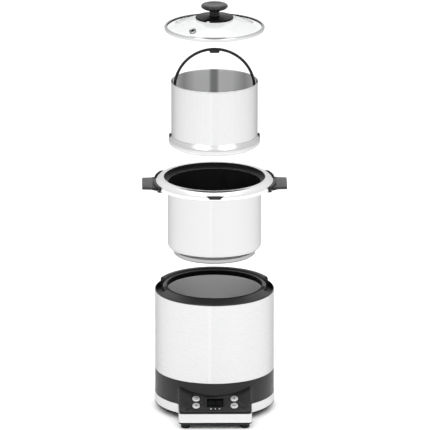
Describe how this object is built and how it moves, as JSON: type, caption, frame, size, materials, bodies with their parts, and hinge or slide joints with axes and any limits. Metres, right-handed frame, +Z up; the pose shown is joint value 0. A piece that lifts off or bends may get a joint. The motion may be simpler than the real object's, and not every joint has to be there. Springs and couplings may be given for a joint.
{
  "type": "slow cooker",
  "caption": "Compact round slow cooker shown lifted apart: base with front console and heated well, handled cooking pot, insert with folding bail, and domed glass lid with knob.",
  "frame": {"origin": "on the table under the middle of the whole object's plan box; the cooker's round axis stands 14.9 mm behind it", "axes": "+Z up along the cooker's axis, -Y towards the control console, +X to the right as seen from the front"},
  "size_m": [0.212, 0.2072, 0.6114],
  "materials": {
    "shell_steel": "fine vertical-faced satin stainless sheet",
    "pot_steel": "bright satin stainless",
    "rim_steel": "polished stainless roll",
    "base_disc_steel": "satin capsule disc",
    "insert_steel": "vertically brushed stainless",
    "trim_pale": "pale satin trim",
    "housing_plastic": "dark grey fine-grained plastic",
    "collar_plastic": "black heat-resistant plastic",
    "panel_gloss": "glossy black panel",
    "display": "smoked display window",
    "icon_print": "pale printed symbols",
    "button_metal": "satin metallised caps",
    "black_plastic": "black moulded plastic",
    "handle_plastic": "dark grey moulded grip",
    "nonstick": "black non-stick coating",
    "well_metal": "dull grey metal well",
    "plate_metal": "cast aluminium plate",
    "element_metal": "oxidised element sheath",
    "steel_fastener": "plated steel",
    "board_green": "circuit board",
    "ceramic": "insulating ceramic",
    "rubber": "rubber feet",
    "lid_glass": "clear tempered glass",
    "lid_steel": "polished rolled rim",
    "bail_black": "black coated wire"
  },
  "bodies": {
    "base": {"feet": "rubber", "base_plate": "black_plastic", "housing_screws": "steel_fastener", "plinth_trim": "trim_pale", "lower_housing": "housing_plastic", "control_panel": "panel_gloss", "display_window": "display", "indicator_icons": "icon_print", "control_board": "board_green", "button_switches": "black_plastic", "power_inlet": "black_plastic", "inlet_pins": "steel_fastener", "terminal_block": "ceramic", "outer_shell": "shell_steel", "top_collar": "collar_plastic", "inner_well": "well_metal", "well_support_ring": "ceramic", "heating_plate": "plate_metal", "heating_element": "element_metal", "thermal_fuse": "ceramic", "sensor_bracket": "steel_fastener", "sensor_spring": "steel_fastener"},
    "sensor": {"temperature_sensor": "steel_fastener"},
    "menu_key": {"button_menu": "button_metal"},
    "start_key": {"button_start": "button_metal"},
    "plus_key": {"button_plus": "button_metal"},
    "minus_key": {"button_minus": "button_metal"},
    "pot": {"pot_body": "pot_steel", "pot_liner": "nonstick", "pot_rim": "rim_steel", "pot_base_disc": "base_disc_steel", "rim_tab": "black_plastic", "handle_left": "handle_plastic", "handle_right": "handle_plastic", "handle_bands": "black_plastic", "handle_anchors": "black_plastic", "handle_screws": "steel_fastener"},
    "insert": {"insert_body": "insert_steel", "insert_foot_ring": "insert_steel", "bail_lugs": "black_plastic", "bail_pins": "steel_fastener"},
    "bail": {"bail_wire": "bail_black", "bail_grip": "bail_black"},
    "lid": {"lid_glass": "lid_glass", "lid_rim": "lid_steel", "knob_flange": "black_plastic", "knob_stem": "black_plastic", "knob_cap": "black_plastic", "knob_screw": "steel_fastener", "knob_washer": "steel_fastener", "vent_grommet": "lid_steel"}
  },
  "joints": [
    {"name": "pot_lift", "type": "slide", "parent": "base", "child": "pot", "axis": [0, 0, 1], "range_m": [-0.156, 0]},
    {"name": "insert_lift", "type": "slide", "parent": "pot", "child": "insert", "axis": [0, 0, 1], "range_m": [-0.1546, 0]},
    {"name": "lid_lift", "type": "slide", "parent": "insert", "child": "lid", "axis": [0, 0, 1], "range_m": [-0.0756, 0]},
    {"name": "bail_fold", "type": "hinge", "parent": "insert", "child": "bail", "pos_m": [0, 0.0149, 0.4852], "axis": [1, 0, 0], "range_deg": [-90, 0]},
    {"name": "sensor_press", "type": "slide", "parent": "base", "child": "sensor", "axis": [0, 0, 1], "range_m": [-0.0022, 0], "deforming": ["sensor_spring"]},
    {"name": "menu_press", "type": "slide", "parent": "base", "child": "menu_key", "axis": [0, 0.4695, -0.8829], "range_m": [0, 0.0007], "stiffness_N_per_m": 2000},
    {"name": "start_press", "type": "slide", "parent": "base", "child": "start_key", "axis": [0, 0.4695, -0.8829], "range_m": [0, 0.0007], "stiffness_N_per_m": 2000},
    {"name": "plus_press", "type": "slide", "parent": "base", "child": "plus_key", "axis": [0, 0.4695, -0.8829], "range_m": [0, 0.0007], "stiffness_N_per_m": 2000},
    {"name": "minus_press", "type": "slide", "parent": "base", "child": "minus_key", "axis": [0, 0.4695, -0.8829], "range_m": [0, 0.0007], "stiffness_N_per_m": 2000}
  ],
  "couplings": [
    {"joint": "bail_fold", "follows": "lid_lift", "rad_per_m": 20.77},
    {"joint": "sensor_press", "follows": "pot_lift", "ratio": 0.0141}
  ]
}
